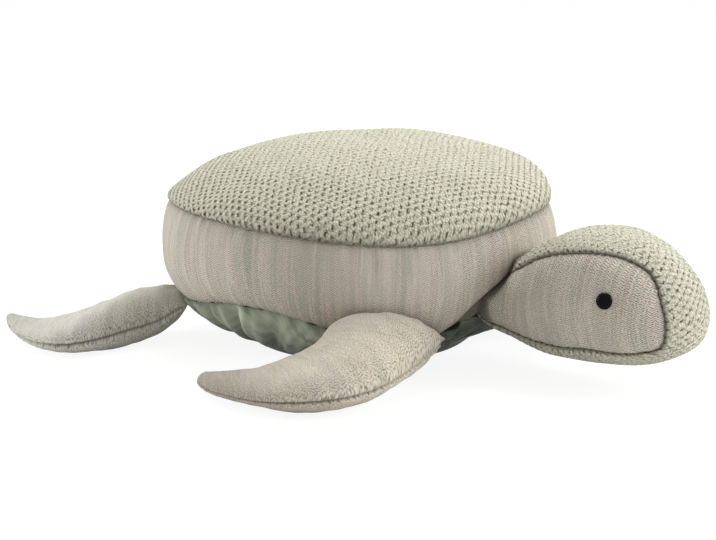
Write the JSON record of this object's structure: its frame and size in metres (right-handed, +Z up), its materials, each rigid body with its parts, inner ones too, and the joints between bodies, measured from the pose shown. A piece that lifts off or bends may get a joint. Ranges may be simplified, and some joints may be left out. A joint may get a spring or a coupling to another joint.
{
  "type": "plush turtle",
  "caption": "Large stuffed sea turtle: round domed knit shell, striped jersey band, leaf-shaped flippers that flap and a rounded head that nods.",
  "frame": {"origin": "centre of the flat patch of the base that the turtle rests on", "axes": "+X points to the head, +Y to the turtle's left, +Z up"},
  "size_m": [0.6736, 0.5704, 0.205],
  "materials": {
    "knit": "chunky moss-stitch knit",
    "jersey": "fine striped jersey",
    "sateen": "soft satin weave",
    "flipper_jersey": "heathered fine jersey",
    "fibre": "loose fibre filling",
    "eye": "polished"
  },
  "bodies": {
    "body": {"shell_panel": "knit", "side_band": "jersey", "base_panel": "sateen", "body_filling": "fibre", "neck_root_hem": "jersey", "front_left_flipper_root_hem": "flipper_jersey", "front_right_flipper_root_hem": "flipper_jersey", "rear_left_flipper_root_hem": "flipper_jersey", "rear_right_flipper_root_hem": "flipper_jersey"},
    "head": {"head_gusset": "knit", "head_filling": "fibre", "head_left_panel": "jersey", "head_right_panel": "jersey", "left_eye": "eye", "right_eye": "eye"},
    "front_left_flipper": {"front_left_flipper_upper_panel": "flipper_jersey", "front_left_flipper_lower_panel": "flipper_jersey", "front_left_flipper_filling": "fibre"},
    "front_right_flipper": {"front_right_flipper_upper_panel": "flipper_jersey", "front_right_flipper_lower_panel": "flipper_jersey", "front_right_flipper_filling": "fibre"},
    "rear_left_flipper": {"rear_left_flipper_upper_panel": "flipper_jersey", "rear_left_flipper_lower_panel": "flipper_jersey", "rear_left_flipper_filling": "fibre"},
    "rear_right_flipper": {"rear_right_flipper_upper_panel": "flipper_jersey", "rear_right_flipper_lower_panel": "flipper_jersey", "rear_right_flipper_filling": "fibre"}
  },
  "joints": [
    {"name": "neck_nod", "type": "hinge", "parent": "body", "child": "head", "pos_m": [0.245, 0, 0.079], "axis": [0, -1, 0], "range_deg": [-30, 35], "stiffness_Nm_per_rad": 6},
    {"name": "front_left_flipper_flap", "type": "hinge", "parent": "body", "child": "front_left_flipper", "pos_m": [0.14692, 0.15214, 0.036], "axis": [0.7193, -0.6947, 0], "range_deg": [-40, 60]},
    {"name": "front_right_flipper_flap", "type": "hinge", "parent": "body", "child": "front_right_flipper", "pos_m": [0.14692, -0.15214, 0.036], "axis": [-0.7193, -0.6947, 0], "range_deg": [-40, 60]},
    {"name": "rear_left_flipper_flap", "type": "hinge", "parent": "body", "child": "rear_left_flipper", "pos_m": [-0.16412, 0.12367, 0.036], "axis": [0.6018, 0.7986, 0], "range_deg": [-40, 60]},
    {"name": "rear_right_flipper_flap", "type": "hinge", "parent": "body", "child": "rear_right_flipper", "pos_m": [-0.16412, -0.12367, 0.036], "axis": [-0.6018, 0.7986, 0], "range_deg": [-40, 60]}
  ]
}
